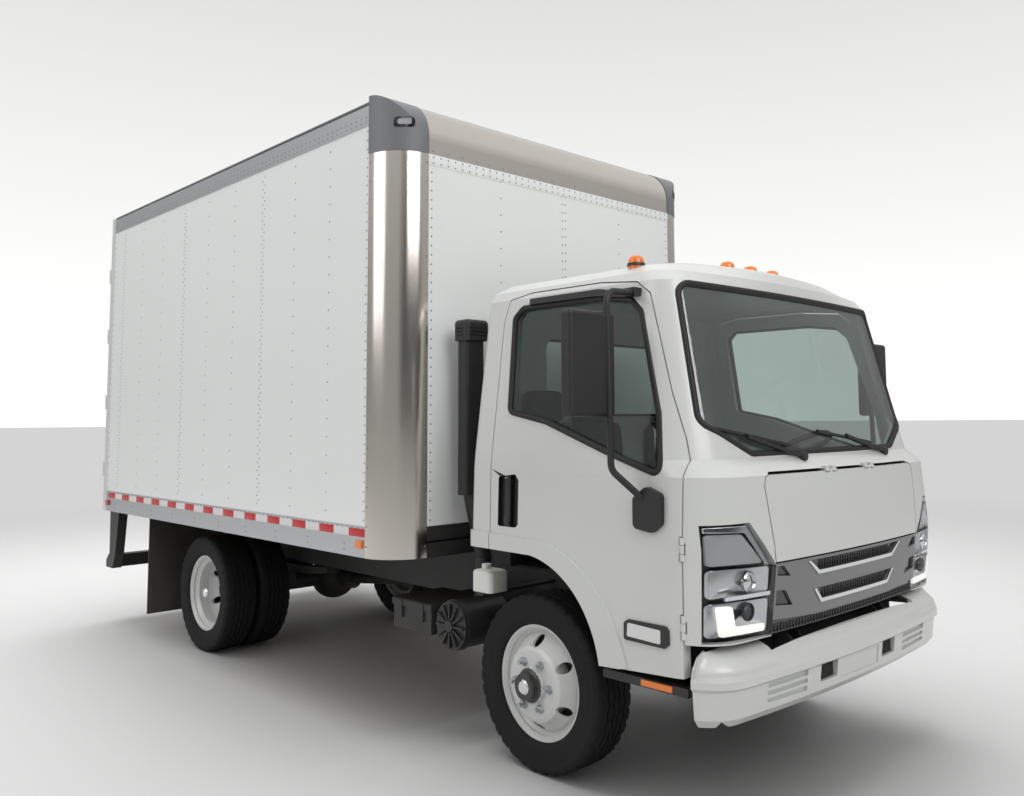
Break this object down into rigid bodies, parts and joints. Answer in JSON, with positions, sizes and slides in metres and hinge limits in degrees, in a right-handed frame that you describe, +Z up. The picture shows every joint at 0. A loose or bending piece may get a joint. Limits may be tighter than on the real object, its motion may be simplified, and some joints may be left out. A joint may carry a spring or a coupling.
{
  "type": "box truck",
  "caption": "White low cab-forward box truck with a riveted van body, aluminium rails, rounded front corner posts, twin rear wheels and a tilting cab.",
  "frame": {"origin": "on the ground, on the centre line, at mid length", "axes": "+X forward towards the cab, +Y left, +Z up"},
  "size_m": [6.1118, 2.734, 3.374],
  "materials": {
    "white_paint": "gloss white",
    "black_chassis": "satin black",
    "aluminium_rail": "mill finish",
    "polished_trim": "polished",
    "grey_cap": "grained",
    "black_plastic": "fine grain",
    "silver_grille": "satin silver",
    "clear_lamp": "clear lens",
    "amber_lamp": "clear amber",
    "red_lamp": "clear red",
    "window_glass": "lightly tinted",
    "tyre_rubber": "matt",
    "flap_rubber": "matt",
    "wheel_white": "gloss white",
    "axle_iron": "painted black",
    "floor_wood": "bare hardwood",
    "seat_cloth": "woven grey",
    "bottle_plastic": "satin",
    "exhaust_steel": "dulled"
  },
  "bodies": {
    "chassis": {"ladder_frame": "black_chassis", "front_axle": "axle_iron", "rear_axle": "axle_iron", "leaf_springs": "black_chassis", "engine": "axle_iron", "propshaft": "black_chassis", "exhaust": "exhaust_steel", "fuel_tank": "black_chassis", "battery_box": "black_chassis", "coolant_bottle": "bottle_plastic", "air_intake": "black_plastic", "front_bumper": "white_paint", "rear_bumper": "black_chassis", "mud_flaps": "flap_rubber", "box_sills": "black_chassis", "box_floor": "floor_wood", "box_side_left": "white_paint", "box_side_right": "white_paint", "box_rails": "aluminium_rail", "box_front": "white_paint", "box_roof": "aluminium_rail", "corner_posts": "polished_trim", "front_header": "polished_trim", "corner_caps": "grey_cap", "rear_frame": "white_paint", "box_lamps": "red_lamp"},
    "cab": {"cab_roof": "white_paint", "cab_back": "white_paint", "cab_front": "white_paint", "corner_panels": "white_paint", "headlamps": "clear_lamp", "grille": "silver_grille", "cab_glass": "window_glass", "cab_floor": "black_chassis", "cab_steps": "black_plastic", "seats": "seat_cloth", "dashboard": "black_plastic", "roof_lamps": "amber_lamp"},
    "front_lid": {"front_lid": "white_paint"},
    "steering_wheel": {"steering_wheel": "black_plastic"},
    "door_left": {"door_left": "white_paint", "door_glass_left": "window_glass", "mirror_left": "black_plastic"},
    "door_right": {"door_right": "white_paint", "door_glass_right": "window_glass", "mirror_right": "black_plastic"},
    "rear_door_left": {"rear_door_left": "white_paint"},
    "rear_door_right": {"rear_door_right": "white_paint"},
    "knuckle_left": {"knuckle_left": "axle_iron"},
    "knuckle_right": {"knuckle_right": "axle_iron"},
    "tie_rod": {"tie_rod": "axle_iron"},
    "wheel_front_left": {"tyre_front_left": "tyre_rubber", "wheel_front_left": "wheel_white"},
    "wheel_front_right": {"tyre_front_right": "tyre_rubber", "wheel_front_right": "wheel_white"},
    "wheels_rear_left": {"tyres_rear_left": "tyre_rubber", "wheels_rear_left": "wheel_white"},
    "wheels_rear_right": {"tyres_rear_right": "tyre_rubber", "wheels_rear_right": "wheel_white"}
  },
  "joints": [
    {"name": "cab_tilt", "type": "hinge", "parent": "chassis", "child": "cab", "pos_m": [2.965, 0, 0.64], "axis": [0, 1, 0], "range_deg": [0, 45]},
    {"name": "front_lid", "type": "hinge", "parent": "cab", "child": "front_lid", "pos_m": [3.013, 0, 1.391], "axis": [0, -1, 0], "range_deg": [0, 70]},
    {"name": "door_left", "type": "hinge", "parent": "cab", "child": "door_left", "pos_m": [2.821, 1.0145, 1], "axis": [0, 0, -1], "range_deg": [0, 75]},
    {"name": "door_right", "type": "hinge", "parent": "cab", "child": "door_right", "pos_m": [2.821, -1.0145, 1], "axis": [0, 0, 1], "range_deg": [0, 75]},
    {"name": "steering_wheel", "type": "hinge", "parent": "cab", "child": "steering_wheel", "pos_m": [2.441, 0.48, 1.44], "axis": [-0.5, 0, 0.866], "range_deg": [-720, 720]},
    {"name": "rear_door_left", "type": "hinge", "parent": "chassis", "child": "rear_door_left", "pos_m": [-3.018, 1.242, 2], "axis": [0, 0, -1], "range_deg": [0, 250]},
    {"name": "rear_door_right", "type": "hinge", "parent": "chassis", "child": "rear_door_right", "pos_m": [-3.018, -1.242, 2], "axis": [0, 0, 1], "range_deg": [0, 250]},
    {"name": "steer_left", "type": "hinge", "parent": "chassis", "child": "knuckle_left", "pos_m": [1.901, 0.745, 0.405], "axis": [0, 0, 1], "range_deg": [-40, 40]},
    {"name": "steer_right", "type": "hinge", "parent": "chassis", "child": "knuckle_right", "pos_m": [1.901, -0.745, 0.405], "axis": [0, 0, 1], "range_deg": [-40, 40]},
    {"name": "tie_rod", "type": "hinge", "parent": "knuckle_left", "child": "tie_rod", "pos_m": [1.751, 0.745, 0.309], "axis": [0, 0, 1], "range_deg": [-40, 40]},
    {"name": "wheel_front_left", "type": "hinge", "parent": "knuckle_left", "child": "wheel_front_left", "pos_m": [1.901, 0.8325, 0.405], "axis": [0, 1, 0], "continuous": true},
    {"name": "wheel_front_right", "type": "hinge", "parent": "knuckle_right", "child": "wheel_front_right", "pos_m": [1.901, -0.8325, 0.405], "axis": [0, 1, 0], "continuous": true},
    {"name": "wheels_rear_left", "type": "hinge", "parent": "chassis", "child": "wheels_rear_left", "pos_m": [-1.464, 0.825, 0.405], "axis": [0, 1, 0], "continuous": true},
    {"name": "wheels_rear_right", "type": "hinge", "parent": "chassis", "child": "wheels_rear_right", "pos_m": [-1.464, -0.825, 0.405], "axis": [0, 1, 0], "continuous": true}
  ],
  "couplings": [
    {"joint": "steer_right", "follows": "steer_left", "ratio": 1},
    {"joint": "tie_rod", "follows": "steer_left", "ratio": -1},
    {"joint": "steering_wheel", "follows": "steer_left", "ratio": 18}
  ]
}
